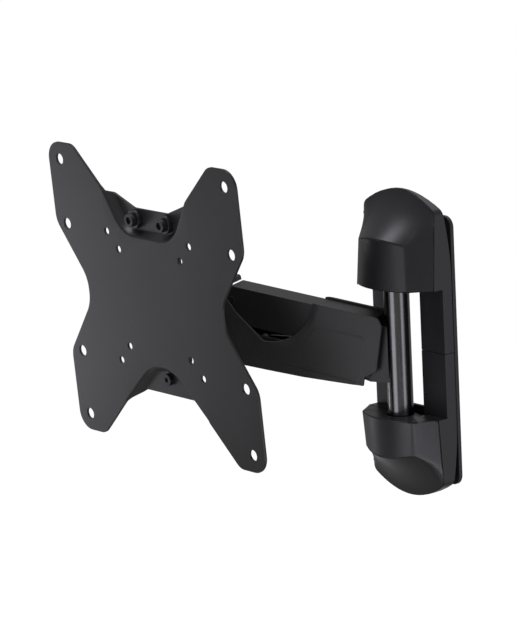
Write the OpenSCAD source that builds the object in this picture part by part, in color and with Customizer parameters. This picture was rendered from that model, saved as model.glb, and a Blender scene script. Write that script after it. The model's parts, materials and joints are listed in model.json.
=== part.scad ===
// Full motion wall mount for a small flat screen.
// Frame: +X right, +Y into the wall, +Z up. The origin is the centre of the wall
// screw pattern, in the plane where the mount meets the wall.

/* [Wall unit] */
// Width of the steel wall plate
wall_plate_w = 80; // [80:1:90]
// Height of the steel wall plate
wall_plate_h = 200; // [196:2:210]
// Thickness of the steel wall plate
wall_plate_t = 3; // [2.5:0.5:4]
// Width of the plastic housings
housing_w = 78.6; // [76:0.2:80]
// Height of the upper end housing above its rim
upper_housing_h = 70.6; // [68:0.2:74]
// Height of the lower end housing below its rim
lower_housing_h = 62.6; // [60:0.2:66]
// Distance from the wall to the front of the end housings
housing_d = 43.9; // [42:0.1:46]
// Clear height between the two end housings
window_h = 95.6; // [92:0.2:104]
// Clear width between the two side rails
window_w = 27.2; // [26:0.2:30]
// Distance from the wall to the front of the side rails
rail_d = 12.2; // [10:0.1:12.4]

/* [Post] */
// Diameter of the swivel post
post_d = 19; // [18:0.2:20]
// Distance from the wall to the post's axis
post_y = 22.6; // [22.4:0.1:24]
// Height of the post
post_h = 126; // [122:1:130]

/* [Rest pose] */
// Angle between the arm and the wall
arm_yaw = 26; // [20:1:90]
// Slope of the arm above horizontal
lift_angle = 9.4; // [-15:0.2:12]
// Downward tilt of the screen plate
tilt_angle = 4.3; // [-10:0.1:10]

/* [Arm] */
// Distance between the pivots of each link
link_length = 104; // [102:0.5:108]
// Height between the upper and the lower link's pivots
pivot_rise = 30; // [29:0.5:31]
// Distance from the post's axis to the rear pivots
rear_pivot_x = 26; // [26:0.5:28]
// Height of the lower rear pivot
rear_pivot_z = -14; // [-15:0.5:-13]
// Distance from the post's axis to the head's swivel axis
arm_reach = 154.1; // [152:0.1:160]
// Outer width of the steel links
link_w = 22; // [22:0.5:24]
// Thickness of the plastic arm covers
arm_cover_t = 2; // [1.5:0.1:2.2]

/* [Screen plate] */
// Larger hole spacing of the screen plate
vesa_large = 200; // [200]
// Middle hole spacing of the screen plate
vesa_mid = 100; // [100]
// Smaller hole spacing of the screen plate
vesa_small = 75; // [75]
// Overall width of the screen plate
screen_w = 228; // [226:1:232]
// Overall height of the screen plate
screen_h = 226.4; // [225:0.2:230]
// Thickness of the screen plate
screen_t = 2; // [1.6:0.2:2.4]
// Depth of the two pressed recesses
recess_d = 6; // [5:0.5:7]
// Diameter of the large holes
large_hole_d = 8.4; // [8:0.1:9]
// Diameter of the small holes
small_hole_d = 5.5; // [4.5:0.1:6]

/* [Hidden] */
$fn = 48;
fine = 96;
running = 0.08;   // radial clearance of a turning pin
seat = 0.05;      // gap between fixed round parts
cut = 1;          // how far a cutting solid passes a face

// Wall unit
rim_z = window_h / 2;
rail_outer_x = housing_w / 2;
rail_inner_x = window_w / 2;
trim_t = 2;
surround_d = 20.3;        // depth of the surround's side walls at the rim
surround_top_d = 16.4;    // the same at the top of the dome
arch_rise = 13.3;         // height of the arch between a housing's shoulders and its top
shoulder_r = 6;
dome_rise = 33;           // height of the scooped dome above the upright front
dome_sag = 1.6;           // exponent of the scoop; 1 would be a straight slope
wall_gap_rise = 6;        // how far a housing's back edge leaves the wall plate...
wall_gap_z = 55;          // ...at this height above the rim
crease_x = 28.3;          // side of the cover's bowed front
crease_y = 36.3;
wall_hole_x = 25;
wall_hole_z = 85;
wall_hole_r = 4.25;
notch_gap = 1.2;          // between the post and the housings' notches
bracket_t = 4;
bracket_z = rim_z + 4;
bracket_half_w = 17;
bracket_h = 26;
gusset_t = 3;
bracket_bolt_x = 8;
bracket_bolt_z = bracket_z + 14;
bracket_bolt_r = 3;
bush_r = post_d / 2 + 2;
bush_flange_t = 1.5;
collar_r = 12;
collar_h = 5;

// Arm, in the plane of its links
rear_bracket_z = -23.4;   // underside of the rear bracket
rear_bracket_x = 9;       // where its back plate meets the post
rear_plate_t = 2.6;
rib_t = 2.5;
flange_t = 2;
boss_r = 8;
pin_r = 3;
pin_w = link_w + 0.4;
washer_t = 0.6;
washer_r = 6.5;
cheek_w = link_w - 2 * flange_t - 2 * washer_t - 0.4;
cheek_t = 2;
link_top = 40.3;          // top of the upper link above the lower rear pivot
cover_gap = 0.5;
rear_low = [rear_pivot_x, rear_pivot_z];
rear_high = [rear_pivot_x, rear_pivot_z + pivot_rise];
link_dir = [cos(lift_angle), sin(lift_angle)];
front_low = rear_low + link_length * link_dir;
front_high = rear_high + link_length * link_dir;
link_high = pivot_rise * [sin(lift_angle), cos(lift_angle)];  // upper pivot in link axes
screw_x = 18;
screw_r = 2.5;
trunnion_z = -2;
trunnion_r = 2;
trunnion_half_w = 4;
trunnion_gap = 1.4;       // radial clearance of the spring rod's eye
spring_eye_x = 86;
spring_rel = [screw_x - rear_pivot_x, trunnion_z - rear_pivot_z];
spring_end = [spring_rel[0] * link_dir[0] + spring_rel[1] * link_dir[1],
              spring_rel[1] * link_dir[0] - spring_rel[0] * link_dir[1]];
spring_len = norm([spring_eye_x - spring_end[0], spring_end[1]]);
spring_slope = atan2(spring_end[1], spring_eye_x - spring_end[0]);
spring_r = 6;
rod_r = 2.5;

// Head
knuckle_top = 48.5;
knuckle_low = -3;
knuckle_half_w = 10;
barrel_r = 11;
swivel_r = 5;
yoke_t = 3.2;
yoke_gap = 1.2;
yoke_low = knuckle_low - yoke_gap - yoke_t;
yoke_high = knuckle_top + yoke_gap;
yoke_strap_half_w = 9;
yoke_strap_y = -19;
swivel_x = -arm_reach * cos(arm_yaw);
swivel_y = -post_y - arm_reach * sin(arm_yaw);
tilt_reach = 26.2;
tilt_z = 36.2;
tilt_r = 4;
yoke_half_w = 21.4;
tilt_head_r = 7.4;
ear_in = 22.5;
ear_t = 2.5;
face_y = 23;              // from the tilt axis to the front of the screen plate
bolt_x = 18.5;
bolt_z = 62;
bolt_r = 3;
lower_screw_z = -59;
lower_screw_r = 2.5;

black = [0.09, 0.09, 0.1];
steel_black = [0.14, 0.14, 0.15];
plastic_black = [0.11, 0.11, 0.11];
chrome_black = [0.2, 0.2, 0.22];
zinc = [0.55, 0.56, 0.58];
acetal = [0.06, 0.06, 0.06];

// ---- Outline helpers ----

function unit(v) = v / norm(v);

// Points of a round corner of radius r at b, between a and c
function fillet(a, b, c, r, steps = 8) =
    r == 0 ? [b] :
    let (
        u = unit(a - b),
        w = unit(c - b),
        half = acos(u * w) / 2,
        centre = b + unit(u + w) * r / sin(half),
        from = b + u * r / tan(half) - centre,
        to = b + w * r / tan(half) - centre,
        start = atan2(from[1], from[0]),
        sweep = (atan2(to[1], to[0]) - start + 540) % 360 - 180
    )
    [for (i = [0:steps]) centre + r * [cos(start + sweep * i / steps),
                                       sin(start + sweep * i / steps)]];

// An outline with its corners rounded; each entry is [x, y, radius]
function rounded(p) =
    let (n = len(p))
    [for (i = [0:n - 1])
        each fillet([p[(i + n - 1) % n][0], p[(i + n - 1) % n][1]], [p[i][0], p[i][1]],
                    [p[(i + 1) % n][0], p[(i + 1) % n][1]], p[i][2])];

// A closed outline from its right half, given from top to bottom
function both_sides(p) =
    concat(p, [for (i = [len(p) - 1:-1:0]) [-p[i][0], p[i][1], p[i][2]]]);

// Extrudes an X-Z outline between two Y planes
module slab(y0, y1) {
    translate([0, y1, 0])
        rotate([90, 0, 0])
            linear_extrude(y1 - y0)
                children();
}

// A cylinder along Y, through an X-Z point, between two Y planes
module peg(p, r, y0, y1) {
    translate([p[0], y0, p[1]])
        rotate([-90, 0, 0])
            cylinder(r = r, h = y1 - y0);
}

// A cylinder along X, through a Y-Z point, between two X planes
module axle(p, r, x0, x1) {
    translate([x0, p[0], p[1]])
        rotate([0, 90, 0])
            cylinder(r = r, h = x1 - x0);
}

module mirrored(v) {
    children();
    mirror(v) children();
}

// ---- Places ----

module at_post() {
    translate([0, -post_y, 0]) children();
}

// X runs from the post along the arm, Y to the arm's room side
module at_arm() {
    at_post() rotate([0, 0, 180 + arm_yaw]) children();
}

// The lower rear pivot, with X along the links
module at_link() {
    at_arm()
        translate([rear_low[0], 0, rear_low[1]])
            rotate([0, -lift_angle, 0])
                children();
}

// The gas spring's front eye, with X towards its rear end
module at_spring() {
    at_link()
        translate([spring_eye_x, 0, 0])
            rotate([0, 180 + spring_slope, 0])
                children();
}

module at_swivel() {
    translate([swivel_x, swivel_y, 0]) children();
}

module at_tilt() {
    translate([swivel_x, swivel_y - tilt_reach, tilt_z])
        rotate([tilt_angle, 0, 0])
            children();
}

// ---- Wall unit ----

module wall_plate() {
    slot_w = window_w + 2;
    color(steel_black)
    difference() {
        slab(-wall_plate_t, 0)
            polygon(rounded(both_sides([
                [wall_plate_w / 2, wall_plate_h / 2, 8],
                [wall_plate_w / 2, -wall_plate_h / 2, 8]
            ])));
        translate([-slot_w / 2, -wall_plate_t - cut, -rim_z + 2])
            cube([slot_w, wall_plate_t + 2 * cut, window_h - 4]);
        for (x = [-1, 1], z = [-1, 1])
            peg([x * wall_hole_x, z * wall_hole_z], wall_hole_r, -wall_plate_t - cut, cut);
        for (x = [-1, 1], z = [-1, 1])
            peg([x * bracket_bolt_x, z * bracket_bolt_z], bracket_bolt_r + seat,
                -wall_plate_t - cut, cut);
    }
}

module post_bracket() {
    back = -wall_plate_t;
    w = bracket_half_w;
    difference() {
        union() {
            translate([-w, back - bracket_t, bracket_z])
                cube([2 * w, bracket_t, bracket_h]);
            translate([-w, -post_y, bracket_z])
                cube([2 * w, post_y + back, bracket_t]);
            translate([0, -post_y, bracket_z])
                cylinder(r = w, h = bracket_t);
            for (x = [-w, w - gusset_t])
                translate([x, 0, bracket_z])
                    rotate([90, 0, 90])
                        linear_extrude(gusset_t)
                            polygon([[back - 1, 0], [-post_y, 0], [-post_y, bracket_t + 1],
                                     [back - bracket_t, bracket_h - 4], [back - 1, bracket_h - 4]]);
        }
        translate([0, -post_y, bracket_z - cut])
            cylinder(r = bush_r + seat, h = bracket_t + 2 * cut);
        for (x = [-1, 1])
            peg([x * bracket_bolt_x, bracket_bolt_z], bracket_bolt_r + seat,
                back - bracket_t - cut, 0);
    }
}

module upper_post_bracket() {
    color(steel_black) post_bracket();
}

module lower_post_bracket() {
    color(steel_black) mirror([0, 0, 1]) post_bracket();
}

module bracket_bolts() {
    head_y = -wall_plate_t - bracket_t;
    color(zinc)
    for (x = [-1, 1], z = [-1, 1])
        translate([x * bracket_bolt_x, 0, z * bracket_bolt_z]) {
            peg([0, 0], bracket_bolt_r, head_y - 1, -0.4);
            translate([0, head_y, 0])
                rotate([90, 0, 0])
                    cylinder(r = 5.5, h = 4, $fn = 6);
        }
}

module post_bush() {
    at_post()
    difference() {
        union() {
            translate([0, 0, bracket_z - 1])
                cylinder(r = bush_r, h = bracket_t + 1);
            translate([0, 0, bracket_z - 0.1 - bush_flange_t])
                cylinder(r = bush_r + 2.5, h = bush_flange_t);
        }
        translate([0, 0, bracket_z - 3])
            cylinder(r = post_d / 2 + running, h = bracket_t + 6, $fn = fine);
    }
}

module upper_post_bush() {
    color(acetal) post_bush();
}

module lower_post_bush() {
    color(acetal) mirror([0, 0, 1]) post_bush();
}

// Front outline of an end housing h tall: straight sides and a low arch, inset by t
function housing_outline(h, t) =
    let (x = rail_outer_x - t, top = h - t, steps = 6)
    rounded(concat(
        [[x, 0, 0], [x, top - arch_rise, shoulder_r]],
        [for (i = [steps - 1:-1:1 - steps])
            [x * i / steps, top - arch_rise * pow(i / steps, 2), 0]],
        [[-x, top - arch_rise, shoulder_r], [-x, 0, 0]]
    ));

// Plan of an end cover: bowed front between two angled sides, inset by t
function cover_plan(t) =
    let (
        side = rail_outer_x - t,
        corner = crease_x - t * 0.6,
        front = housing_d - t,
        shoulder = crease_y - t,
        rise = front - shoulder,
        bow_r = (corner * corner + rise * rise) / (2 * rise),
        spread = asin(corner / bow_r)
    )
    concat([[side, 0], [side, -surround_d + t * 0.6]],
           [for (i = [-6:6]) [-bow_r * sin(spread * i / 6),
                              -front + bow_r - bow_r * cos(spread * i / 6)]],
           [[-side, -surround_d + t * 0.6], [-side, 0]]);

// Side view of an end cover h tall: upright face, then a scooped dome, inset by t
function cover_side(h, t) =
    let (front = housing_d - 1.6 - t, back = surround_top_d - 0.8 - t * 0.3, steps = 10)
    concat([[0, 0], [-housing_d + t, 0]],
           [for (i = [0:steps])
               [-back - (front - back) * pow(1 - i / steps, dome_sag),
                h - t - dome_rise * (1 - i / steps)]],
           [[0, h - t]]);

module housing_form(h, t) {
    intersection() {
        translate([0, 0, t])
            linear_extrude(h)
                polygon(cover_plan(t));
        slab(-housing_d - cut, cut)
            polygon(housing_outline(h, t));
        translate([-rail_outer_x - cut, 0, 0])
            rotate([90, 0, 90])
                linear_extrude(2 * rail_outer_x + 2 * cut)
                    polygon(cover_side(h, t));
    }
}

// What lies behind the joint line between a cover and the surround
module behind_joint(h, shift) {
    translate([-wall_plate_w, 0, 0])
        rotate([90, 0, 90])
            linear_extrude(2 * wall_plate_w)
                polygon([[cut, -cut], [-surround_d + shift, -cut], [-surround_d + shift, 0],
                         [-surround_top_d + shift, h], [-surround_top_d + shift, h + cut],
                         [cut, h + cut]]);
}

// What lies behind a housing's back edge, which bows away from the wall
module behind_back_edge(h) {
    steps = 7;
    translate([-wall_plate_w, 0, 0])
        rotate([90, 0, 90])
            linear_extrude(2 * wall_plate_w)
                polygon(concat(
                    [[cut, -cut], [-wall_plate_t, -cut]],
                    [for (i = [0:steps])
                        let (z = (h + cut) * i / steps)
                        [-wall_plate_t - wall_gap_rise * pow(z / wall_gap_z, 2), z]],
                    [[cut, h + cut]]
                ));
}

// The opening in a housing's rim, for the post
module post_notch() {
    r = post_d / 2 + notch_gap;
    translate([0, -post_y, -cut])
        cylinder(r = r, h = trim_t + 3 * cut);
    translate([-r, -post_y, -cut])
        cube([2 * r, post_y, trim_t + 3 * cut]);
}

module cover(h) {
    translate([0, 0, rim_z])
    difference() {
        housing_form(h, 0);
        housing_form(h, trim_t);
        behind_joint(h, -0.15);
        post_notch();
    }
}

module upper_cover() {
    color(plastic_black) cover(upper_housing_h);
}

module lower_cover() {
    color(plastic_black) mirror([0, 0, 1]) cover(lower_housing_h);
}

// One half of the plastic surround: two rails and the back of an end housing
module surround(h) {
    back = -wall_plate_t;
    seam = 0.2;
    rail_w = rail_outer_x - rail_inner_x;
    opening_x = rail_inner_x + 4;
    mirrored([1, 0, 0])
        difference() {
            translate([rail_inner_x, -rail_d, seam])
                cube([rail_w, rail_d + back, rim_z - seam + 1]);
            translate([rail_inner_x + trim_t, -rail_d + trim_t, seam + trim_t])
                cube([rail_w - 2 * trim_t, rail_d, rim_z]);
        }
    translate([0, 0, rim_z])
        difference() {
            intersection() {
                housing_form(h, 0);
                behind_joint(h, 0);
            }
            housing_form(h, trim_t);
            behind_back_edge(h);
            translate([-opening_x, -housing_d, -cut])
                cube([2 * opening_x, housing_d, trim_t + 2 * cut]);
        }
}

module upper_surround() {
    color(plastic_black) surround(upper_housing_h);
}

module lower_surround() {
    color(plastic_black) mirror([0, 0, 1]) surround(lower_housing_h);
}

// ---- Post and rear bracket ----

module post_tube() {
    color(chrome_black)
    at_post()
    difference() {
        translate([0, 0, -post_h / 2])
            cylinder(d = post_d, h = post_h, $fn = fine);
        translate([0, 0, -post_h / 2 - cut])
            cylinder(d = post_d - 5, h = post_h + 2 * cut);
    }
}

module post_collars() {
    color(zinc)
    at_post()
    mirrored([0, 0, 1])
        translate([0, 0, bracket_z + bracket_t + 0.6])
            difference() {
                cylinder(r = collar_r, h = collar_h);
                translate([0, 0, -cut])
                    cylinder(d = post_d + 2 * seat, h = collar_h + 2 * cut, $fn = fine);
            }
}

module rear_cheek_outline() {
    low = rear_bracket_z;
    difference() {
        union() {
            polygon(rounded([
                [2, low, 0], [20, low, 2], [rear_low[0] + 4, rear_low[1] - 6, 3],
                [rear_high[0] + 6, rear_high[1], 3], [18, rear_high[1] + 4, 2],
                [2, rear_high[1] + 1.5, 0]
            ]));
            translate(rear_low) circle(r = boss_r);
            translate(rear_high) circle(r = boss_r);
        }
        translate(rear_low) circle(r = pin_r + seat);
        translate(rear_high) circle(r = pin_r + seat);
    }
}

module rear_bracket() {
    half = cheek_w / 2;
    height = rear_high[1] + 1.1 - rear_bracket_z;
    color(steel_black)
    at_arm()
    difference() {
        union() {
            for (y = [-half, half - cheek_t])
                slab(y, y + cheek_t) rear_cheek_outline();
            translate([rear_bracket_x, -half, rear_bracket_z])
                cube([rear_plate_t, cheek_w, height]);
            for (z = [rear_bracket_z + 2, 8])
                translate([rear_bracket_x, -half, z])
                    cube([14, cheek_w, rib_t]);
        }
        translate([0, 0, rear_bracket_z - cut])
            cylinder(r = post_d / 2 + seat, h = height + 10, $fn = fine);
        translate([screw_x, 0, rear_bracket_z - cut])
            cylinder(r = screw_r + running, h = height + 10);
    }
}

module rear_pivot_pins() {
    color(zinc)
    at_arm()
        for (p = [rear_low, rear_high])
            peg(p, pin_r, -pin_w / 2, pin_w / 2);
}

module washers_at(points) {
    for (p = points, y = [cheek_w / 2 + 0.1, -cheek_w / 2 - 0.1 - washer_t])
        difference() {
            peg(p, washer_r, y, y + washer_t);
            peg(p, pin_r + seat, y - cut, y + washer_t + cut);
        }
}

module rear_washers() {
    color(acetal) at_arm() washers_at([rear_low, rear_high]);
}

module tension_screw() {
    head_z = 10.6;
    head_h = 5;
    color(zinc)
    at_arm()
    translate([screw_x, 0, 0]) {
        translate([0, 0, rear_bracket_z + 2.9])
            cylinder(r = screw_r, h = head_z - rear_bracket_z - 2.5);
        translate([0, 0, head_z])
            difference() {
                cylinder(r = 4, h = head_h);
                translate([0, 0, head_h - 2.6]) cylinder(r = 2.3, h = head_h, $fn = 6);
            }
    }
}

module tension_trunnion() {
    half = trunnion_half_w;
    pin_end = cheek_w / 2 - cheek_t - 0.1;
    color(zinc)
    at_arm()
    difference() {
        union() {
            translate([screw_x - half, -half, trunnion_z - half])
                cube(2 * half);
            peg([screw_x, trunnion_z], trunnion_r, -pin_end, pin_end);
        }
        translate([screw_x, 0, trunnion_z - 2 * half])
            cylinder(r = screw_r + seat, h = 4 * half);
    }
}

// ---- Links ----

module upper_link() {
    half = link_w / 2;
    rear_x = -4;
    front_x = 111;
    color(black)
    at_link()
    difference() {
        union() {
            for (y = [-half, half - flange_t])
                slab(y, y + flange_t)
                    union() {
                        polygon(rounded([
                            [rear_x, link_top, 0], [rear_x, 31, 2], [8, 22, 4], [24, 13, 6],
                            [92, 13, 6], [104, 22, 4], [front_x, 31, 2], [front_x, link_top, 0]
                        ]));
                        for (x = [0, link_length])
                            translate(link_high + [x, 0]) circle(r = boss_r);
                    }
            translate([rear_x, -half, link_top - flange_t])
                cube([front_x - rear_x, link_w, flange_t]);
        }
        for (x = [0, link_length])
            peg(link_high + [x, 0], pin_r + running, -half - cut, half + cut);
        translate([rear_x + 3, 6, link_top - 5])
            cylinder(r = 1.2, h = 10);
    }
}

module lower_link() {
    half = link_w / 2;
    bottom = -9.5;
    color(steel_black)
    at_link()
    difference() {
        union() {
            for (y = [-half, half - flange_t])
                slab(y, y + flange_t)
                    union() {
                        polygon(rounded([
                            [0, boss_r, 0], [link_length, boss_r, 0], [link_length, bottom + 1.5, 0],
                            [link_length - 10, bottom, 2], [10, bottom, 2], [0, bottom + 1.5, 0]
                        ]));
                        circle(r = boss_r);
                        translate([link_length, 0]) circle(r = boss_r);
                    }
            translate([10, -half, bottom])
                cube([link_length - 20, link_w, flange_t]);
        }
        for (x = [0, link_length])
            peg([x, 0], pin_r + running, -half - cut, half + cut);
        peg([spring_eye_x, 0], pin_r + seat, -half - cut, half + cut);
    }
}

// Side view of an arm cover: square rear end, raised top edge, then a deep scoop
module arm_cover_outline() {
    scoop = [for (a = [0:10:90]) [79 - 35.5 * sin(a), 41.5 - 36 * cos(a)]];
    polygon(concat(
        [[-4.6, -11.1], [-4.6, -4.6], [-13.4, 1.8], [-13.4, 36.3], [-10, 41.4], [-6, 42.1], [41, 42.1]],
        [for (i = [9:-1:0]) scoop[i]],
        [[92, 12.8], [104, 22.2], [113, 31.2], [116, 28], [116, -4], [108, -15], [96, -16.9], [46, -14.9]]
    ));
}

module arm_cover() {
    inner = link_w / 2 + cover_gap;
    outer = inner + arm_cover_t;
    difference() {
        union() {
            slab(inner, outer) arm_cover_outline();
            slab(outer - 0.01, outer + 1.2)
                polygon(rounded([[-1, 1, 3], [-1, 24.5, 4], [36, 27, 6], [44, 14, 10],
                                 [72, -4, 8], [72, -13, 3], [4, -9.5, 3]]));
            slab(0.1, inner + 0.01)
                polygon([[2, -11.6], [46, -14.9], [91, -16.7], [91, -14.7], [46, -12.9], [2, -9.8]]);
        }
        for (x = [0, link_length])
            peg([x, 0], pin_r + 1, inner - cut, inner + 0.6);
        for (x = [0, link_length])
            peg(link_high + [x, 0], pin_r + 1, inner - cut, inner + 0.6);
    }
}

module room_side_arm_cover() {
    color(plastic_black) at_link() arm_cover();
}

module wall_side_arm_cover() {
    color(plastic_black) at_link() mirror([0, 1, 0]) arm_cover();
}

// ---- Gas spring ----

module spring_pin() {
    color(zinc) at_link() peg([spring_eye_x, 0], pin_r, -link_w / 2, link_w / 2);
}

module gas_spring_cylinder() {
    neck_x = 2;
    body_start = 8;
    body_end = 56;
    color(black)
    at_spring()
    difference() {
        union() {
            peg([0, 0], 6, -4, 4);
            translate([neck_x, 0, 0])
                rotate([0, 90, 0])
                    cylinder(r = 3.5, h = body_start);
            translate([body_start, 0, 0])
                rotate([0, 90, 0])
                    cylinder(r = spring_r, h = body_end - body_start);
        }
        peg([0, 0], pin_r + running, -6, 6);
        translate([body_start + 4, 0, 0])
            rotate([0, 90, 0])
                cylinder(r = rod_r + running, h = body_end);
    }
}

module gas_spring_rod() {
    rod_start = 38;
    eye_r = 5;
    lug_in = trunnion_half_w + 0.3;
    lug_out = cheek_w / 2 - cheek_t - 0.4;
    lug_x = spring_len - 12;
    color(zinc)
    at_spring()
    difference() {
        union() {
            translate([rod_start, 0, 0])
                rotate([0, 90, 0])
                    cylinder(r = rod_r, h = lug_x + 2 - rod_start);
            slab(-lug_out, lug_out)
                translate([lug_x, -4.5])
                    square([4, 9]);
            mirrored([0, 1, 0])
                slab(lug_in, lug_out)
                    union() {
                        translate([lug_x, -4.5]) square([12, 9]);
                        translate([spring_len, 0]) circle(r = eye_r);
                    }
        }
        peg([spring_len, 0], trunnion_r + trunnion_gap, -10, 10);
    }
}

// ---- Knuckle and head ----

module knuckle() {
    half = cheek_w / 2;
    body = knuckle_half_w;
    color(steel_black)
    at_arm()
    difference() {
        union() {
            difference() {
                union() {
                    slab(-body, body)
                        polygon(rounded([
                            [front_low[0] + 9, knuckle_low, 2], [arm_reach, knuckle_low, 0],
                            [arm_reach, knuckle_top, 0], [front_high[0] + 1.6, knuckle_top, 2],
                            [front_high[0] + 0.6, front_high[1] + 10, 0],
                            [front_low[0] + 9, front_high[1] + 6, 0]
                        ]));
                    translate([arm_reach, 0, knuckle_low])
                        cylinder(r = barrel_r, h = knuckle_top - knuckle_low);
                }
                peg(front_high, boss_r + 3.6, -body - cut, body + cut);
            }
            slab(-half, half) {
                translate(front_low) circle(r = boss_r);
                translate(front_high) circle(r = boss_r);
                translate([front_low[0] - boss_r, front_low[1]])
                    square([2 * boss_r, front_high[1] - front_low[1]]);
                translate([front_low[0], knuckle_low + 2])
                    square([12, 20]);
            }
        }
        for (p = [front_low, front_high])
            peg(p, pin_r + seat, -body - cut, body + cut);
        translate([arm_reach, 0, knuckle_low - cut])
            cylinder(r = swivel_r + running, h = knuckle_top - knuckle_low + 2 * cut);
    }
}

module front_pivot_pins() {
    color(black)
    at_arm()
        for (p = [front_low, front_high])
            peg(p, pin_r, -pin_w / 2, pin_w / 2);
}

module front_washers() {
    color(acetal) at_arm() washers_at([front_low, front_high]);
}

module swivel_washers() {
    washer_h = yoke_gap - 0.2;
    color(acetal)
    at_swivel()
        for (z = [knuckle_top + 0.1, knuckle_low - 0.1 - washer_h])
            translate([0, 0, z])
                difference() {
                    cylinder(r = barrel_r - 1, h = washer_h);
                    translate([0, 0, -cut]) cylinder(r = swivel_r + seat, h = washer_h + 2 * cut);
                }
}

module tilt_yoke() {
    strap = yoke_strap_half_w;
    height = yoke_high + yoke_t - yoke_low;
    color(black)
    at_swivel()
    difference() {
        union() {
            for (z = [yoke_low, yoke_high])
                translate([0, 0, z]) {
                    cylinder(r = barrel_r, h = yoke_t);
                    translate([-strap, yoke_strap_y, 0])
                        cube([2 * strap, -yoke_strap_y, yoke_t]);
                }
            translate([-strap, yoke_strap_y, yoke_low])
                cube([2 * strap, 3.5, height]);
            axle([-tilt_reach, tilt_z], 8, -yoke_half_w, yoke_half_w);
            translate([-strap, -tilt_reach, tilt_z - 8])
                cube([2 * strap, tilt_reach + yoke_strap_y + 3, 16]);
        }
        translate([0, 0, yoke_low - cut])
            cylinder(r = swivel_r + seat, h = height + 2 * cut);
        axle([-tilt_reach, tilt_z], tilt_r + running, -yoke_half_w - cut, yoke_half_w + cut);
    }
}

module swivel_pin() {
    head_h = 2.9;
    color(zinc)
    at_swivel() {
        translate([0, 0, yoke_low - 1])
            cylinder(r = swivel_r, h = yoke_high + yoke_t - yoke_low + 1.5);
        translate([0, 0, yoke_low - 0.1 - head_h])
            cylinder(r = 8, h = head_h);
    }
}

module swivel_cap() {
    base = yoke_high + yoke_t;
    color(plastic_black)
    at_swivel()
        difference() {
            translate([0, 0, base + 0.1]) cylinder(r = 8.5, h = 3);
            translate([0, 0, base - cut]) cylinder(r = swivel_r + seat, h = cut + 0.8);
        }
}

// ---- Screen plate ----

// X and Z in the plane of the plate, Y towards the wall, from the tilt axis
floor_y = -face_y + recess_d;
bracket_y = floor_y + screen_t;

upper_mouth = rounded(both_sides([[52, 86, 0], [30, 50, 25]]));
upper_mouth_inner = rounded(both_sides([[50, 86, 0], [28.8, 52, 23]]));
lower_mouth = rounded([[50, -82, 0], [0, -37.2, 35], [-50, -82, 0]]);
lower_mouth_inner = rounded([[47.2, -82, 0], [0, -39.8, 33], [-47.2, -82, 0]]);
upper_edge = [[-60, 86], [-49, 81], [-20, 70], [20, 70], [49, 81], [60, 86], [60, 110], [-60, 110]];
lower_edge = [[-60, -82], [-46, -79.5], [-30, -71.5], [30, -71.5], [46, -79.5], [60, -82],
              [60, -110], [-60, -110]];

module screen_outline() {
    x = screen_w / 2;
    z = screen_h / 2;
    difference() {
        polygon(rounded(both_sides([
            [48, 83.4, 0], [51, 83.4, 5], [83, z, 12], [x, z, 14], [x, 51, 16], [82.2, 9.7, 25],
            [82.2, -9.7, 25], [x, -51, 16], [x, -z, 14], [83, -z, 12], [50, -82, 0]
        ])));
        polygon(upper_mouth);
        polygon(lower_mouth);
    }
}

module screen_plate() {
    color(black)
    at_tilt()
    difference() {
        union() {
            slab(-face_y, -face_y + screen_t)
                screen_outline();
            slab(-face_y, bracket_y)
                difference() {
                    polygon(upper_mouth);
                    polygon(upper_mouth_inner);
                    polygon(upper_edge);
                }
            slab(-face_y, bracket_y)
                difference() {
                    polygon(lower_mouth);
                    polygon(lower_mouth_inner);
                    polygon(lower_edge);
                }
            slab(floor_y, bracket_y) {
                difference() {
                    polygon(upper_mouth);
                    polygon(upper_edge);
                }
                difference() {
                    polygon(lower_mouth);
                    polygon(lower_edge);
                }
            }
        }
        for (x = [-1, 1], z = [-1, -0.5, 0.5, 1])
            peg([x * vesa_large / 2, z * vesa_large / 2], large_hole_d / 2, -face_y - cut, 0);
        for (x = [-1, 1], z = [-1, 1], s = [vesa_mid, vesa_small])
            peg([x * s / 2, z * s / 2], small_hole_d / 2, -face_y - cut, 0);
        for (x = [-1, 1])
            peg([x * bolt_x, bolt_z], bolt_r + seat, -face_y - cut, 0);
        peg([0, lower_screw_z], lower_screw_r + seat, -face_y - cut, 0);
    }
}

module head_bracket() {
    front = bracket_y + 0.1;
    back = front + 2.5;
    half = ear_in + ear_t;
    color(black)
    at_tilt()
    difference() {
        union() {
            slab(front, back)
                polygon(rounded(both_sides([
                    [28, 67, 3], [28, 52, 4], [half, 36, 4], [half, -42, 4], [12, -68, 4]
                ])));
            for (x = [-half, ear_in])
                translate([x, 0, 0])
                    rotate([90, 0, 90])
                        linear_extrude(ear_t)
                            polygon(rounded([[front, 33, 0], [front, -26, 0], [-6, -24, 3],
                                             [8, -7, 6], [8, 8, 6], [-6, 30, 3]]));
        }
        axle([0, 0], tilt_r + seat, -half - cut, half + cut);
        translate([-12, front - cut, -24])
            cube([24, 5 + cut, 50]);
        for (x = [-1, 1])
            peg([x * bolt_x, bolt_z], bolt_r + seat, front - cut, back + cut);
        peg([0, lower_screw_z], lower_screw_r + seat, front - cut, back + cut);
    }
}

module tilt_bolt() {
    outer = ear_in + ear_t;
    color(zinc)
    at_tilt() {
        axle([0, 0], tilt_r, -outer - 1, outer + 8);
        translate([-outer - 0.1, 0, 0])
            rotate([0, -90, 0])
                cylinder(r = tilt_head_r, h = 5, $fn = 6);
    }
}

module tilt_nut() {
    outer = ear_in + ear_t;
    color(zinc)
    at_tilt()
    difference() {
        translate([outer + 0.1, 0, 0])
            rotate([0, 90, 0])
                cylinder(r = tilt_head_r, h = 6.4, $fn = 6);
        axle([0, 0], tilt_r + seat, outer - cut, outer + 12);
    }
}

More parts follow.
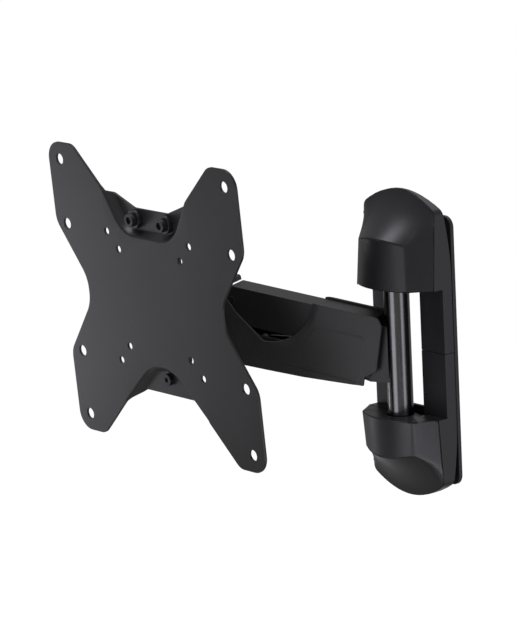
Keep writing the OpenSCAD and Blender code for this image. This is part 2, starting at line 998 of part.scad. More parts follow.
module tilt_washers() {
    washer_w = ear_in - yoke_half_w - 0.2;
    color(acetal)
    at_tilt()
        for (x = [yoke_half_w + 0.1, -ear_in + 0.1])
            difference() {
                axle([0, 0], 8, x, x + washer_w);
                axle([0, 0], tilt_r + seat, x - cut, x + washer_w + cut);
            }
}

// Two socket head bolts, with their heads about level with the plate
module upper_plate_bolts() {
    head_y = -face_y - 1.6;
    color(black)
    at_tilt()
        for (x = [-1, 1])
            difference() {
                union() {
                    peg([x * bolt_x, bolt_z], 5, head_y, head_y + 4);
                    peg([x * bolt_x, bolt_z], bolt_r, head_y + 2, bracket_y + 6);
                }
                translate([x * bolt_x, head_y + 2.4, bolt_z])
                    rotate([90, 0, 0])
                        cylinder(r = 2.9, h = 4, $fn = 6);
            }
}

module plate_spacers() {
    color(black)
    at_tilt()
        for (x = [-1, 1])
            difference() {
                peg([x * bolt_x, bolt_z], 7, -face_y + 2.5, floor_y - 0.1);
                peg([x * bolt_x, bolt_z], bolt_r + seat, -face_y - cut, floor_y + cut);
            }
}

module lower_plate_screw() {
    head_y = floor_y - 3.1;
    color(black)
    at_tilt()
    difference() {
        union() {
            peg([0, lower_screw_z], 4.6, head_y, head_y + 3);
            peg([0, lower_screw_z], lower_screw_r, head_y + 2, bracket_y + 6);
        }
        translate([0, head_y + 1.9, lower_screw_z])
            rotate([90, 0, 0])
                cylinder(r = 2, h = 4, $fn = 6);
    }
}

wall_plate();
upper_post_bracket();
lower_post_bracket();
bracket_bolts();
upper_post_bush();
lower_post_bush();
upper_surround();
lower_surround();
upper_cover();
lower_cover();
post_tube();
post_collars();
rear_bracket();
rear_pivot_pins();
rear_washers();
tension_screw();
tension_trunnion();
upper_link();
lower_link();
room_side_arm_cover();
wall_side_arm_cover();
spring_pin();
gas_spring_cylinder();
gas_spring_rod();
knuckle();
front_pivot_pins();
front_washers();
tilt_yoke();
swivel_pin();
swivel_cap();
swivel_washers();
head_bracket();
tilt_bolt();
tilt_nut();
tilt_washers();
screen_plate();
upper_plate_bolts();
plate_spacers();
lower_plate_screw();
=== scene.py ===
import json
import math

import bmesh
import bpy
import numpy as np
from mathutils import Matrix, Vector
from mathutils.geometry import delaunay_2d_cdt


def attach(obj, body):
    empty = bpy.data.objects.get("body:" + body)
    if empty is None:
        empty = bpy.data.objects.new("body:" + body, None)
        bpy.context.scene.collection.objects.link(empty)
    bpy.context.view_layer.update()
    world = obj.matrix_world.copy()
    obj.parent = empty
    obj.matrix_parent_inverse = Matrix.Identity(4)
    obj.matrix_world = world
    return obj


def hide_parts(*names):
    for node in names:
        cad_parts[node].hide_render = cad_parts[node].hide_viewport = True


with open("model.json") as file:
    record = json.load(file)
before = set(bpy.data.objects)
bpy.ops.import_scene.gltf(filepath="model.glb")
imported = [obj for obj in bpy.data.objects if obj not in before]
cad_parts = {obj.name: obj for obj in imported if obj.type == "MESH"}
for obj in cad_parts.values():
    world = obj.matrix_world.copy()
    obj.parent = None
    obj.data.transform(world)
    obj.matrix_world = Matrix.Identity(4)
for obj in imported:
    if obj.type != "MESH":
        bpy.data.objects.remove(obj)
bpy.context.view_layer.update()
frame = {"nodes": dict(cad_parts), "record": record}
nodes = frame["nodes"]
joints = {j["name"]: j for j in frame["record"]["behaviour"]["joints"]}
mounts = {m["name"]: m for m in frame["record"]["mounts"]}
slot_of = {s["node"]: s["material_slot"] for s in frame["record"]["subparts"]}

MM = 0.001
TINY = 1e-12             # keeps a division away from zero

# Sizes are in millimetres, and repeat the driving sizes of the CAD source.
RIM_Z = 47.8             # half the clear height between the end covers
HOUSING_W = 78.6
UPPER_H = 70.6           # height of each housing beyond its rim
LOWER_H = 62.6
HOUSING_D = 43.9
SHELL_T = 2.0
ARCH_RISE = 13.3         # from a housing's shoulders to its top
SHOULDER_R = 6.0
DOME_RISE = 33.0         # height of the scooped dome above the upright front
CREASE_DROP = 4.0        # how much lower the crease is at its ends
CREASE_X = 28.3          # side of the bowed front, at the rim
CREASE_D = 36.3
JOINT_D = 20.3           # depth of the joint with the surround, at the rim
JOINT_TOP_D = 16.4       # the same at the top of the dome
JOINT_GAP = 0.15         # between a cover and the surround
TAPER_X = 0.057          # how fast the front panel narrows with height
TAPER_D = 0.045          # how fast it leans back with height
POST_D = 19.0
POST_Y = 22.6
NOTCH_GAP = 1.2          # around the post, in a cover's rim
LINK_W = 22.0
COVER_GAP = 0.5          # between a link and an arm cover
SCOOP_X = 79.0           # centre and half sizes of the scoop in the arm covers
SCOOP_Z = 41.5
SCOOP_RX = 35.5
SCOOP_RZ = 36.0
FACE_Y = 23.0            # from the tilt axis to the front of the screen plate
PLATE_T = 2.0
RECESS_D = 6.0
RECESS_LEAD = 1.2        # how far a recess's wall starts outside its outline
RECESS_WALL = 5.4        # width of that wall


# ---- Places ----

def place(origin, x_axis, y_axis):
    """A matrix from local millimetres to world metres."""
    x = Vector(x_axis).normalized()
    y = Vector(y_axis).normalized()
    z = x.cross(y)
    turn = Matrix((x, y, z)).transposed().to_4x4()
    return Matrix.Translation(Vector(origin)) @ turn @ Matrix.Scale(MM, 4)


WORLD = Matrix.Scale(MM, 4)
lift = joints["arm_lift"]
AT_LINK = place(
    lift["pos_m"],
    Vector(joints["knuckle_pivot"]["pos_m"]) - Vector(lift["pos_m"]),
    -Vector(lift["axis"]),
)
AT_TILT = place(joints["screen_tilt"]["pos_m"], (1, 0, 0), -Vector(mounts["screen_face"]["axis"]))


# ---- Outlines, as lists of (x, z) points ----

def fillet(a, b, c, r, steps=10):
    """A round corner of radius r at b, between a and c."""
    if r == 0:
        return [b]
    u = (a - b).normalized()
    w = (c - b).normalized()
    half = math.acos(max(-1.0, min(1.0, u.dot(w)))) / 2
    centre = b + (u + w).normalized() * r / math.sin(half)
    start = b + u * r / math.tan(half) - centre
    end = b + w * r / math.tan(half) - centre
    a0 = math.atan2(start.y, start.x)
    sweep = (math.atan2(end.y, end.x) - a0 + 3 * math.pi) % (2 * math.pi) - math.pi
    return [
        centre + r * Vector((math.cos(a0 + sweep * i / steps), math.sin(a0 + sweep * i / steps)))
        for i in range(steps + 1)
    ]


def rounded(corners):
    """A closed outline from (x, z, radius) corners."""
    points = [Vector(c[:2]) for c in corners]
    n = len(points)
    out = []
    for i in range(n):
        out += fillet(points[i - 1], points[i], points[(i + 1) % n], corners[i][2])
    return out


def both_sides(right_half):
    """A whole outline's corners from those of its right half."""
    return right_half + [(-x, z, r) for x, z, r in reversed(right_half)]


def circle(x, z, r, steps=32):
    turn = 2 * math.pi / steps
    return [Vector((x + r * math.cos(i * turn), z + r * math.sin(i * turn))) for i in range(steps)]


def resample(points, spacing):
    """The same closed outline with no gap between points longer than spacing."""
    out = []
    for a, b in zip(points, points[1:] + points[:1]):
        n = max(1, math.ceil((b - a).length / spacing))
        out += [a.lerp(b, k / n) for k in range(n)]
    return out


def offset_line(line, distance):
    """An open line moved sideways, towards the side that is inside its curve."""
    middle = sum(line, Vector((0, 0))) / len(line)
    out = []
    for i, p in enumerate(line):
        a = line[max(i - 1, 0)]
        b = line[min(i + 1, len(line) - 1)]
        along = (b - a).normalized()
        side = Vector((-along.y, along.x))
        if side.dot(middle - p) < 0:
            side = -side
        out.append(p + side * distance)
    return out


def signed_distance(points, line):
    """Distance of each point from a closed outline, positive inside."""
    p = np.asarray(points, float)
    a = np.asarray(line, float)
    b = np.roll(a, -1, axis=0)
    best = np.full(len(p), np.inf)
    inside = np.zeros(len(p), bool)
    for (ax, az), (bx, bz) in zip(a, b):
        ex, ez = bx - ax, bz - az
        t = ((p[:, 0] - ax) * ex + (p[:, 1] - az) * ez) / max(ex * ex + ez * ez, TINY)
        t = t.clip(0, 1)
        best = np.minimum(best, np.hypot(p[:, 0] - ax - t * ex, p[:, 1] - az - t * ez))
        crosses = (az > p[:, 1]) != (bz > p[:, 1])
        if abs(ez) > TINY:
            inside ^= crosses & (p[:, 0] < ax + ex * (p[:, 1] - az) / ez)
    return np.where(inside, best, -best)


def smoothstep(t):
    t = np.clip(t, 0, 1)
    return t * t * (3 - 2 * t)


def fade_out(x, start, end):
    """1 up to start and 0 from end on."""
    return smoothstep((end - x) / (end - start))


def soft_min(a, b, k):
    """The lower of two heights, with their meeting line rounded over about k."""
    h = np.maximum(k - np.abs(a - b), 0) / k
    return np.minimum(a, b) - h * h * k / 4


# ---- Mesh pieces ----

def add_piece(name, bm, at, body, replaced, slot):
    """Turns a finished bmesh into a piece that rides a body and stands for one CAD node."""
    bmesh.ops.recalc_face_normals(bm, faces=bm.faces)
    mesh = bpy.data.meshes.new(name)
    bm.to_mesh(mesh)
    bm.free()
    mesh.transform(at)
    piece = bpy.data.objects.new(name, mesh)
    bpy.context.scene.collection.objects.link(piece)
    mesh.materials.append(FINISH[slot])
    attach(piece, body)
    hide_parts(replaced)
    return piece


def merge_flat_faces(piece):
    """Joins a CAD node's triangles into clean faces, as a modifier."""
    weld = piece.modifiers.new("weld", "WELD")
    weld.merge_threshold = 0.002 * MM
    flat = piece.modifiers.new("flat", "DECIMATE")
    flat.decimate_type = "DISSOLVE"
    flat.angle_limit = math.radians(0.6)


def finish_edges(piece, width, angle, segments, clamp=False):
    """Rounds edges sharper than angle and smooths the rest; width is in millimetres."""
    for polygon in piece.data.polygons:
        polygon.use_smooth = True
    bevel = piece.modifiers.new("bevel", "BEVEL")
    bevel.width = width * MM
    bevel.segments = segments
    bevel.limit_method = "ANGLE"
    bevel.angle_limit = math.radians(angle)
    bevel.miter_outer = "MITER_ARC"
    bevel.use_clamp_overlap = clamp
    bevel.harden_normals = True
    normals = piece.modifiers.new("normals", "WEIGHTED_NORMAL")
    normals.keep_sharp = True
    normals.weight = 80


def drop_loose(bm):
    """Removes the points that no face uses."""
    for v in [v for v in bm.verts if not v.link_faces]:
        bm.verts.remove(v)


def sheet(outline, holes, guides, front, thickness):
    """A sheet cut to an outline, with a front face shaped by front(points) along Y.

    The guides are open lines that the mesh follows, where the face bends.
    """
    loops = [resample(outline, 2.5)] + holes
    coords = []
    edges = []
    for loop in loops:
        start = len(coords)
        coords += loop
        edges += [(start + i, start + (i + 1) % len(loop)) for i in range(len(loop))]
    for line in guides:
        start = len(coords)
        coords += line
        edges += [(start + i, start + i + 1) for i in range(len(line) - 1)]
    points, _, triangles, _, _, _ = delaunay_2d_cdt(coords, edges, [], 0, 1e-5)
    points = np.array([tuple(p) for p in points])
    triangles = np.array(triangles)
    middle = points[triangles].mean(axis=1)
    keep = signed_distance(middle, loops[0]) > 0
    for hole in holes:
        keep &= signed_distance(middle, hole) < 0
    y = front(points)
    bm = bmesh.new()
    near = [bm.verts.new((p[0], d, p[1])) for p, d in zip(points, y)]
    far = [bm.verts.new((p[0], d + thickness, p[1])) for p, d in zip(points, y)]
    rim = {}
    for t in triangles[keep]:
        a, b, c = (int(v) for v in t)
        bm.faces.new((near[a], near[b], near[c]))
        bm.faces.new((far[c], far[b], far[a]))
        for e in ((a, b), (b, c), (c, a)):
            rim[frozenset(e)] = None if frozenset(e) in rim else e
    for e in rim.values():
        if e:
            bm.faces.new((near[e[1]], near[e[0]], far[e[0]], far[e[1]]))
    drop_loose(bm)
    return bm


# ---- Materials ----

class Nodes:
    """A small helper to build a node material."""

    def __init__(self, name):
        self.material = bpy.data.materials.new(name)
        self.material.use_nodes = True
        self.tree = self.material.node_tree
        self.shader = self.tree.nodes["Principled BSDF"]
        self.coords = self.tree.nodes.new("ShaderNodeTexCoord")

    def add(self, kind, **inputs):
        node = self.tree.nodes.new("ShaderNode" + kind)
        for key, value in inputs.items():
            node.inputs[key.replace("_", " ")].default_value = value
        return node

    def link(self, a, b):
        self.tree.links.new(a, b)

    def noise(self, scale, detail, stretch=None):
        tex = self.add("TexNoise", Scale=scale, Detail=detail, Roughness=0.55)
        source = self.coords.outputs["Object"]
        if stretch:
            mapping = self.tree.nodes.new("ShaderNodeMapping")
            mapping.inputs["Scale"].default_value = stretch
            self.link(source, mapping.inputs["Vector"])
            source = mapping.outputs["Vector"]
        self.link(source, tex.inputs["Vector"])
        return tex

    def ramp(self, source, out_low, out_high):
        """Stretches the middle of a noise to the range from out_low to out_high."""
        node = self.add("MapRange")
        node.inputs["From Min"].default_value = 0.3
        node.inputs["From Max"].default_value = 0.7
        node.inputs["To Min"].default_value = out_low
        node.inputs["To Max"].default_value = out_high
        self.link(source, node.inputs["Value"])
        return node.outputs["Result"]

    def bump(self, height, strength, distance, normal=None):
        node = self.add("Bump", Strength=strength, Distance=distance)
        self.link(height, node.inputs["Height"])
        if normal:
            self.link(normal, node.inputs["Normal"])
        return node.outputs["Normal"]

    def colour(self, source, dark, light):
        mix = self.tree.nodes.new("ShaderNodeMix")
        mix.data_type = "RGBA"
        mix.inputs["A"].default_value = (*dark, 1)
        mix.inputs["B"].default_value = (*light, 1)
        self.link(self.ramp(source, 0, 1), mix.inputs["Factor"])
        self.link(mix.outputs["Result"], self.shader.inputs["Base Color"])


def painted_steel(name, dark, light, rough, grain=2600, bump=0.12):
    """Powder coat: a fine grain and slow drifts of colour and gloss."""
    m = Nodes(name)
    cloud = m.noise(14, 4)
    fine = m.noise(grain, 2)
    m.colour(cloud.outputs["Fac"], dark, light)
    m.link(m.ramp(cloud.outputs["Fac"], rough - 0.03, rough + 0.03), m.shader.inputs["Roughness"])
    m.link(m.bump(fine.outputs["Fac"], bump, 0.00006), m.shader.inputs["Normal"])
    m.shader.inputs["Specular IOR Level"].default_value = 0.5
    return m.material


def moulded_plastic(name, dark, light, rough, grain, bump, depth):
    """Spark-eroded plastic: a pebbled skin with finer noise on top."""
    m = Nodes(name)
    cloud = m.noise(22, 3)
    pebble = m.add("TexVoronoi", Scale=grain)
    m.link(m.coords.outputs["Object"], pebble.inputs["Vector"])
    fine = m.noise(grain * 1.7, 2)
    m.colour(cloud.outputs["Fac"], dark, light)
    m.link(m.ramp(cloud.outputs["Fac"], rough - 0.03, rough + 0.04), m.shader.inputs["Roughness"])
    first = m.bump(pebble.outputs["Distance"], bump, depth)
    m.link(m.bump(fine.outputs["Fac"], bump * 0.6, depth * 0.6, first), m.shader.inputs["Normal"])
    m.shader.inputs["Specular IOR Level"].default_value = 0.45
    return m.material


def bright_metal(name, dark, light, rough, stretch=(1, 1, 1)):
    """Plated or polished metal; stretch draws its fine lines out along an axis."""
    m = Nodes(name)
    cloud = m.noise(60, 3)
    lines = m.noise(700, 3, stretch=stretch)
    m.colour(cloud.outputs["Fac"], dark, light)
    m.link(m.ramp(lines.outputs["Fac"], rough - 0.05, rough + 0.06), m.shader.inputs["Roughness"])
    m.link(m.bump(lines.outputs["Fac"], 0.08, 0.00003), m.shader.inputs["Normal"])
    m.shader.inputs["Metallic"].default_value = 1.0
    return m.material


FINISH = {
    "wall_steel": painted_steel(
        "wall_steel_finish", (0.014, 0.014, 0.015), (0.019, 0.019, 0.020), rough=0.46),
    "screen_steel": painted_steel(
        "screen_steel_finish", (0.016, 0.016, 0.017), (0.020, 0.020, 0.021), rough=0.33,
        grain=3400, bump=0.10),
    "arm_steel": painted_steel(
        "arm_steel_finish", (0.014, 0.014, 0.014), (0.019, 0.019, 0.019), rough=0.45),
    "cast_black": painted_steel(
        "cast_black_finish", (0.014, 0.014, 0.015), (0.020, 0.020, 0.021), rough=0.48,
        grain=1500, bump=0.25),
    "post_chrome": bright_metal(
        "post_finish", (0.128, 0.128, 0.130), (0.144, 0.144, 0.146), rough=0.20,
        stretch=(1, 1, 0.04)),
    "trim_plastic": moulded_plastic(
        "trim_plastic_finish", (0.017, 0.017, 0.019), (0.022, 0.022, 0.024), rough=0.36,
        grain=2600, bump=0.14, depth=0.00008),
    "arm_plastic": moulded_plastic(
        "arm_plastic_finish", (0.036, 0.036, 0.035), (0.044, 0.044, 0.043), rough=0.50,
        grain=1100, bump=0.55, depth=0.00016),
    "zinc": bright_metal(
        "zinc_finish", (0.50, 0.51, 0.53), (0.60, 0.61, 0.62), rough=0.34),
    "black_fastener": painted_steel(
        "black_fastener_finish", (0.012, 0.012, 0.013), (0.020, 0.020, 0.021), rough=0.30,
        grain=1500, bump=0.15),
    "acetal": painted_steel(
        "acetal_finish", (0.010, 0.010, 0.010), (0.015, 0.015, 0.015), rough=0.35,
        grain=1800, bump=0.10),
    "rod_steel": bright_metal(
        "rod_finish", (0.62, 0.62, 0.64), (0.70, 0.70, 0.71), rough=0.16),
}


# ---- Screen plate: one pressed sheet with two open recesses ----

def build_screen_plate():
    half = [
        (20, 70, 5), (49, 81, 3), (51, 83.4, 3), (83, 113.2, 12), (114, 113.2, 14), (114, 51, 16),
        (82.2, 9.7, 25), (82.2, -9.7, 25), (114, -51, 16), (114, -113.2, 14), (83, -113.2, 12),
        (50, -82, 2), (46, -79.5, 3), (30, -71.5, 4),
    ]
    outline = rounded(both_sides(half))
    upper = rounded(both_sides([(70, 115, 0), (30, 50, 25)]))
    lower = rounded([(50, -82, 0), (0, -37.2, 35), (-50, -82, 0), (-52, -125, 0), (52, -125, 0)])

    wide_r = 4.2         # holes of the 200 mm patterns
    small_r = 2.75       # holes of the 75 and 100 mm patterns
    bolt_r = 3.05        # for the two bolts in the upper recess
    screw_r = 2.55       # for the screw in the lower recess
    holes = []
    for x in (-100, 100):
        holes += [circle(x, z, wide_r) for z in (-100, -50, 50, 100)]
    for s in (50, 37.5):
        holes += [circle(x, z, small_r, 24) for x in (-s, s) for z in (-s, s)]
    holes += [circle(x, 62, bolt_r, 24) for x in (-18.5, 18.5)]
    holes.append(circle(0, -59, screw_r, 24))

    guides = []
    for mouth in (upper, lower):
        line = [p for p in resample(mouth, 1.6) if abs(p.y) < 100]
        for step in range(-2, 10):
            shifted = offset_line(line, step * 0.6)
            guides.append([p for p in shifted if abs(p.y) < 95])

    def sunk(points, mouth):
        """0 outside a recess and 1 on its floor."""
        return smoothstep((signed_distance(points, mouth) + RECESS_LEAD) / RECESS_WALL)

    def front(points):
        return -FACE_Y + RECESS_D * np.maximum(sunk(points, upper), sunk(points, lower))

    bm = sheet(outline, holes, guides, front, PLATE_T)
    piece = add_piece("screen_plate_sheet", bm, AT_TILT, "screen_mount", "screen_plate",
                      "screen_steel")
    finish_edges(piece, 0.35, 50, 2)


# ---- End covers: a bowed front, two angled sides and a scooped dome ----

# In this section h is a housing's height above its rim, t an inset from its outer skin, and
# z a height above the rim.

def arch_points(h, t):
    """A housing's front outline from the rim's left end, over the top, to its right end."""
    w = HOUSING_W / 2 - t
    top = h - t
    shoulder = Vector((-w, top - ARCH_RISE))
    arch = [Vector((w * k / 24, top - ARCH_RISE * (k / 24) ** 2)) for k in range(-20, 1)]
    corner = fillet(Vector((-w, 0)), shoulder, arch[0], SHOULDER_R, 8)
    foot = h - DOME_RISE
    # the levels are closer together at the rim and at the crease
    low = [t, t + 0.6, t + 1.4, t + 3] + [t + 5 + k * (foot - t - 6) / 16 for k in range(17)]
    high = [foot + 0.4 * k for k in range(-1, 5)]
    high += [foot + 2.4 + k * (corner[0].y - foot - 2.4) / 16 for k in range(16)]
    left = [Vector((-w, z)) for z in low + high] + corner + arch
    return left + [Vector((-p.x, p.y)) for p in reversed(left[:-1])]


def crease_side(z):
    """Half the width of the bowed front."""
    return CREASE_X - TAPER_X * z


def crease_height(x, h):
    """Height of the crease between the upright front and the dome."""
    across = np.minimum(np.abs(x) / crease_side(h - DOME_RISE), 1)
    return h - DOME_RISE - CREASE_DROP * across ** 2


def joint_depth(z, h):
    """Depth of the joint line between a cover and the surround."""
    return JOINT_D + JOINT_GAP - (JOINT_D - JOINT_TOP_D) * z / h


def bow_depth(x, z):
    """Depth of the bowed front."""
    front = HOUSING_D - TAPER_D * z
    side = crease_side(z)
    rise = HOUSING_D - CREASE_D
    bow_r = (side ** 2 + rise ** 2) / (2 * rise)
    return front - bow_r + np.sqrt(bow_r ** 2 - x ** 2)


def facet_depth(x, z, h):
    """Depth of the angled sides."""
    side = crease_side(z)
    corner = CREASE_D - TAPER_D * z
    joint = joint_depth(z, h)
    return corner - (np.abs(x) - side) * (corner - joint) / (HOUSING_W / 2 - side)


def scoop_depth(x, z, h):
    """Depth of the hollow slope from the crease up to the ridge."""
    foot = crease_height(x, h)
    top = h - ARCH_RISE * (2 * x / HOUSING_W) ** 2
    up = np.clip((z - foot) / (top - foot), 0, 1)
    ridge = joint_depth(z, h)
    hollow = 1.3 + 0.6 * (1 - (2 * x / HOUSING_W) ** 2)
    return ridge + (bow_depth(x, foot) - ridge) * (1 - up) ** hollow


def cover_depth(x, z, h):
    """Depth of a cover's outer skin, with its creases rounded."""
    above = z - crease_height(x, h)
    if above <= 0:
        return soft_min(bow_depth(x, z), facet_depth(x, z, h), 1.4)
    soft = 1.4 + 2.6 * smoothstep(above / 12)
    return soft_min(scoop_depth(x, z, h), facet_depth(x, z, h), soft)


def skin_rows(h, t):
    """Rows of (x, depth, z) points across a cover, from the joint to the centre line."""
    w = HOUSING_W / 2
    foot = h - DOME_RISE
    # distances from the centre line, closer together around the side of the bowed front
    across = [w, 38.9, 38.2] + [37.4 - k for k in range(7)]
    across += [30.6, 30, 29.5, 29.1, 28.7, 28.3, 27.9, 27.5, 27.1, 26.6, 26, 25.2, 24.2]
    across += [23 - 1.15 * k for k in range(20)] + [0]
    rows = []
    for p in arch_points(h, t):
        hub = Vector((0, min(p.y, h - ARCH_RISE)))
        side = crease_side(min(p.y, foot))
        row = []
        for x in across:
            if x > CREASE_X:
                x = w - (w - x) * (w - side) / (w - CREASE_X)
            else:
                x = x * side / CREASE_X
            q = p.lerp(hub, 1 - x / w)
            # the rows sag with the crease, but not at the rim
            if q.y < foot:
                sag = max(0, (q.y - t) / (foot - t))
            else:
                sag = max(0, (h - ARCH_RISE - q.y) / (DOME_RISE - ARCH_RISE))
            q.y -= sag * (foot - float(crease_height(q.x, h)))
            depth = float(cover_depth(q.x, q.y, h)) - t
            row.append((q.x, max(depth, float(joint_depth(q.y, h))), q.y))
        row[0] = (row[0][0], float(joint_depth(row[0][2], h)), row[0][2])
        rows.append(row)
    return rows


def notch_line():
    """The notch for the post in a cover's rim, as (x, depth) points."""
    r = POST_D / 2 + NOTCH_GAP
    start = JOINT_D + JOINT_GAP
    arc = [
        Vector((-r * math.cos(math.radians(a)), POST_Y + r * math.sin(math.radians(a))))
        for a in range(10, 180, 10)
    ]
    left = [Vector((-r, start)), Vector((-r, POST_Y))]
    right = [Vector((r, POST_Y)), Vector((r, start))]
    return left + arc + right


def add_skin(bm, vert, rows, inward):
    """One skin of a cover, as a grid of quads."""
    grid = [[vert(point) for point in row] for row in rows]
    for a, b in zip(grid, grid[1:]):
        for i in range(len(a) - 1):
            quad = (a[i], a[i + 1], b[i + 1], b[i])
            bm.faces.new(reversed(quad) if inward else quad)
    return grid


def add_rim_floor(bm, vert, grid, notch, z):
    """The flat of the rim at height z, between the grid's lower edge and the notch."""
    front = [Vector((v.co.x, -v.co.y)) for v in grid[0]]
    front += [Vector((v.co.x, -v.co.y)) for v in reversed(grid[-1])]
    clean = [p for i, p in enumerate(front) if i == 0 or (p - front[i - 1]).length > 1e-4]
    loop = clean + list(reversed(notch))
    edges = [(i, (i + 1) % len(loop)) for i in range(len(loop))]
    points, _, triangles, _, _, _ = delaunay_2d_cdt(loop, edges, [], 0, 1e-5)
    made = [vert((p.x, p.y, z)) for p in points]
    middles = [sum((points[v] for v in t), Vector((0, 0))) / 3 for t in triangles]
    inside = signed_distance(middles, loop) > 0
    for tri, good in zip(triangles, inside):
        if good:
            bm.faces.new([made[v] for v in tri])


def build_cover(name, node, up, h):
    """One end cover; up is 1 for the upper one and -1 for the lower one."""
    bm = bmesh.new()

    def vert(point):
        x, depth, z = point
        return bm.verts.new((x, -depth, up * (RIM_Z + z)))

    outer = add_skin(bm, vert, skin_rows(h, 0.0), inward=False)
    inner = add_skin(bm, vert, skin_rows(h, SHELL_T), inward=True)
    for i in range(len(outer) - 1):
        bm.faces.new((outer[i][0], outer[i + 1][0], inner[i + 1][0], inner[i][0]))

    notch = notch_line()
    add_rim_floor(bm, vert, outer, notch, 0.0)
    add_rim_floor(bm, vert, inner, notch, SHELL_T)
    for a, b in zip(notch, notch[1:]):
        bm.faces.new([vert((a.x, a.y, 0)), vert((b.x, b.y, 0)),
                      vert((b.x, b.y, SHELL_T)), vert((a.x, a.y, SHELL_T))])
    bmesh.ops.remove_doubles(bm, verts=bm.verts, dist=0.01)
    bmesh.ops.holes_fill(bm, edges=[e for e in bm.edges if e.is_boundary], sides=8)
    drop_loose(bm)
    piece = add_piece(name, bm, WORLD, "wall_unit", node, "trim_plastic")
    finish_edges(piece, 0.8, 33, 3)


# ---- Arm covers: a flat side with a raised panel and a deep scoop ----

def scoop_line(grow, first, last):
    """The scoop's edge between two angles; grow moves it away from the scoop's hollow."""
    out = []
    for a in range(first, last, 5):
        s = math.radians(a)
        out.append(Vector((SCOOP_X - (SCOOP_RX + grow) * math.sin(s),
                           SCOOP_Z - (SCOOP_RZ + grow) * math.cos(s))))
    return out


def add_strip(bm, stations, y0, y1):
    """A bent bar through (x, top, bottom) stations, between two Y planes."""
    rings = [
        [bm.verts.new(p) for p in ((x, y0, top), (x, y1, top), (x, y1, bottom), (x, y0, bottom))]
        for x, top, bottom in stations
    ]
    for a, b in zip(rings, rings[1:]):
        for i in range(4):
            bm.faces.new((a[i], b[i], b[(i + 1) % 4], a[(i + 1) % 4]))
    bm.faces.new(rings[0])
    bm.faces.new(reversed(rings[-1]))


def arm_cover_outline():
    """The rear edge and the top, then the scoop, the nose and the lower edge."""
    rear = [(-4.6, -11.1), (-4.6, -4.6), (-13.4, 1.8), (-13.4, 36.3), (-10, 41.4)]
    top = [(-6, 42.1), (41, 42.1)]
    lip = fillet(Vector((92, 12.8)), Vector((104, 22.2)), Vector((113, 31.2)), 12)
    nose = [(113, 31.2), (116, 28), (116, -4), (108, -15), (96, -16.9)]
    bottom = [(46, -14.9)]
    outline = [Vector(p) for p in rear + top]
    outline += reversed(scoop_line(0, 0, 91))
    outline += lip
    outline += [Vector(p) for p in nose + bottom]
    return outline


def build_arm_cover(name, node, side):
    """One side of the arm; side is 1 for the room side and -1 for the wall side."""
    inner = LINK_W / 2 + COVER_GAP
    face = 2.6 if side > 0 else 2.0   # the wall side is thinner, to clear the surrounds when folded
    clear = 0.2                       # how far the back may reach into the gap to the link
    bevel_w = 6.0                     # width of the bevel along the scoop
    edge_t = 0.3                      # what the bevel leaves at the scoop's edge
    panel_rise = 0.6                  # of the raised panel above the face
    nose_fall = 1.6                   # how much closer to the link the nose ends
    panel = rounded([(-2.2, 1.3, 4), (-2.2, 25.3, 4), (38, 25.3, 9), (47, 8, 12), (70, -3, 10),
                     (74, -18, 0), (4, -18, 0)])

    guides = []
    for grow in (0.8, 1.6, 2.5, 3.5, 4.6, 6):
        guides.append([p for p in scoop_line(grow, 6, 96) if p.y < 41.6])
    panel_line = resample(panel, 2.0)
    for step in (-0.8, -0.3, 0.2, 0.8):
        ring = offset_line(panel_line + panel_line[:1], step)
        guides.append([p for p in ring if p.y > -9])

    def front(points):
        x = points[:, 0]
        z = points[:, 1]
        inside = smoothstep((signed_distance(points, panel) + 1.2) / 2.4)
        lift_panel = panel_rise * inside * fade_out(x, 34, 58)
        away = (np.hypot((x - SCOOP_X) / SCOOP_RX, (z - SCOOP_Z) / SCOOP_RZ) - 1) * SCOOP_RX
        fall = np.clip(1 - away / bevel_w, 0, 1) ** 1.4
        bevel = (face - edge_t) * fall * fade_out(x, 56, 74)
        nose = nose_fall * smoothstep((x - 60) / 50)
        return inner + face + lift_panel - bevel - nose

    bm = sheet(arm_cover_outline(), [], guides, front, -2.2)
    for v in bm.verts:
        v.co.y = max(v.co.y, inner - clear)
    underside = [(2, -9.8, -11.6), (46, -12.9, -14.9), (91, -14.7, -16.7)]
    add_strip(bm, underside, 0.1, inner + 1)
    if side < 0:
        for v in bm.verts:
            v.co.y = -v.co.y
    piece = add_piece(name, bm, AT_LINK, "lower_arm", node, "arm_plastic")
    finish_edges(piece, 0.5, 40, 3)


# ---- CAD pieces that keep their shape ----

SMALL_EDGE = 0.3         # bevel of every edge that has no width of its own, in millimetres
EDGE = {
    "wall_plate": 0.6, "upper_surround": 0.8, "lower_surround": 0.8, "post_tube": 0.5,
    "upper_link": 1.0, "lower_link": 0.8, "knuckle": 1.0, "tilt_yoke": 0.8, "head_bracket": 0.6,
}


def dress_cad_nodes(replaced):
    """Gives every CAD node that still shows its finish and soft edges."""
    for name, piece in nodes.items():
        if name in replaced:
            continue
        piece.data.materials.clear()
        piece.data.materials.append(FINISH[slot_of[name]])
        merge_flat_faces(piece)
        finish_edges(piece, EDGE.get(name, SMALL_EDGE), 32, 2, clamp=True)


build_screen_plate()
build_cover("upper_end_cover", "upper_cover", 1, UPPER_H)
build_cover("lower_end_cover", "lower_cover", -1, LOWER_H)
build_arm_cover("room_side_arm_shell", "room_side_arm_cover", 1)
build_arm_cover("wall_side_arm_shell", "wall_side_arm_cover", -1)
dress_cad_nodes({"screen_plate", "upper_cover", "lower_cover",
                 "room_side_arm_cover", "wall_side_arm_cover"})


# ---- Floor, light and camera ----

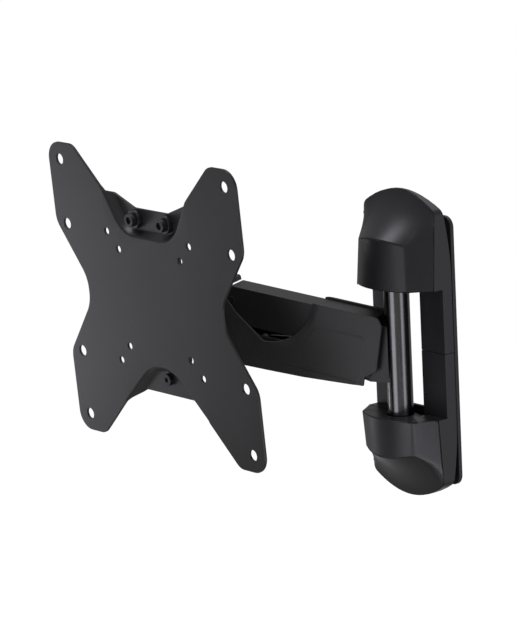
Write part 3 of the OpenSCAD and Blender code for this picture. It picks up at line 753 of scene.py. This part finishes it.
def build_floor():
    """A pale sheet that glows to the camera and lights nothing."""
    half = 20
    square = ((-half, -half, 0), (half, -half, 0), (half, half, 0), (-half, half, 0))
    bm = bmesh.new()
    bm.faces.new([bm.verts.new(p) for p in square])
    mesh = bpy.data.meshes.new("floor")
    bm.to_mesh(mesh)
    bm.free()
    floor = bpy.data.objects.new("floor", mesh)
    floor.location = (0, 0, -0.34)
    bpy.context.scene.collection.objects.link(floor)
    m = Nodes("floor_finish")
    cloud = m.noise(3, 2)
    m.colour(cloud.outputs["Fac"], (0.040, 0.040, 0.040), (0.045, 0.045, 0.045))
    m.shader.inputs["Roughness"].default_value = 0.9
    m.shader.inputs["Emission Color"].default_value = (1, 1, 1, 1)
    m.shader.inputs["Emission Strength"].default_value = 0.99
    mesh.materials.append(m.material)
    floor.visible_glossy = False
    floor.visible_diffuse = False


def build_world():
    """A white background for the camera, and a dim one for everything else."""
    world = bpy.data.worlds.new("studio")
    bpy.context.scene.world = world
    world.use_nodes = True
    tree = world.node_tree
    background = tree.nodes["Background"]
    path = tree.nodes.new("ShaderNodeLightPath")
    mix = tree.nodes.new("ShaderNodeMapRange")
    mix.inputs["To Min"].default_value = 0.30
    mix.inputs["To Max"].default_value = 1.0
    tree.links.new(path.outputs["Is Camera Ray"], mix.inputs["Value"])
    tree.links.new(mix.outputs["Result"], background.inputs["Strength"])
    background.inputs["Color"].default_value = (1, 1, 1, 1)


def softbox(name, direction, distance, width, height, radiance):
    """A soft light whose brightness is its radiance, as seen from the object."""
    aim = (-0.07, -0.08, 0)
    light = bpy.data.lights.new(name, "AREA")
    light.shape = "RECTANGLE"
    light.size = width
    light.size_y = height
    light.energy = radiance * math.pi * width * height
    light.color = (0.92, 0.89, 1.0)
    lamp = bpy.data.objects.new(name, light)
    lamp.location = Vector(aim) + Vector(direction).normalized() * distance
    lamp.rotation_mode = "QUATERNION"
    lamp.rotation_quaternion = Vector(direction).to_track_quat("Z", "Y")
    lamp.visible_camera = False
    bpy.context.scene.collection.objects.link(lamp)


def build_camera():
    """The photo's camera, solved from the screen plate's holes."""
    camera = bpy.data.cameras.new("camera")
    camera.lens = 209.09
    camera.sensor_width = 36
    camera.clip_end = 100
    eye = bpy.data.objects.new("camera", camera)
    right = Vector((0.62328, 0.78059, -0.04686))
    up = Vector((-0.13429, 0.16587, 0.97696))
    back = Vector((0.77038, -0.60263, 0.20821))
    eye.matrix_world = Matrix.Translation((2.02319, -1.73407, 0.59071)) @ (
        Matrix((right, up, back)).transposed().to_4x4()
    )
    bpy.context.scene.collection.objects.link(eye)
    bpy.context.scene.camera = eye


build_floor()
build_world()
softbox("plate_light", (-0.93, -0.36, -0.20), 0.95, 0.20, 0.34, 3.0)
softbox("front_light", (0.17, -0.94, -0.33), 1.4, 0.8, 0.9, 1.9)
softbox("side_light", (1.0, 0.07, -0.25), 1.4, 0.5, 1.0, 1.6)
softbox("facet_light", (0.83, -0.53, -0.60), 1.4, 0.6, 0.40, 5.0)
softbox("rail_light", (0.77, 0.60, -0.20), 1.4, 0.8, 1.2, 0.5)
softbox("scoop_light", (-0.30, -0.22, 0.93), 1.2, 0.42, 0.42, 6.0)
softbox("ridge_light", (0.58, -0.07, 0.81), 1.2, 0.30, 0.30, 8.0)
softbox("back_light", (-0.20, 0.60, 0.78), 1.4, 0.9, 0.7, 1.0)
softbox("left_light", (-0.70, 0.65, -0.50), 1.2, 0.5, 0.5, 0.3)
build_camera()
bpy.context.scene.view_settings.view_transform = "Standard"
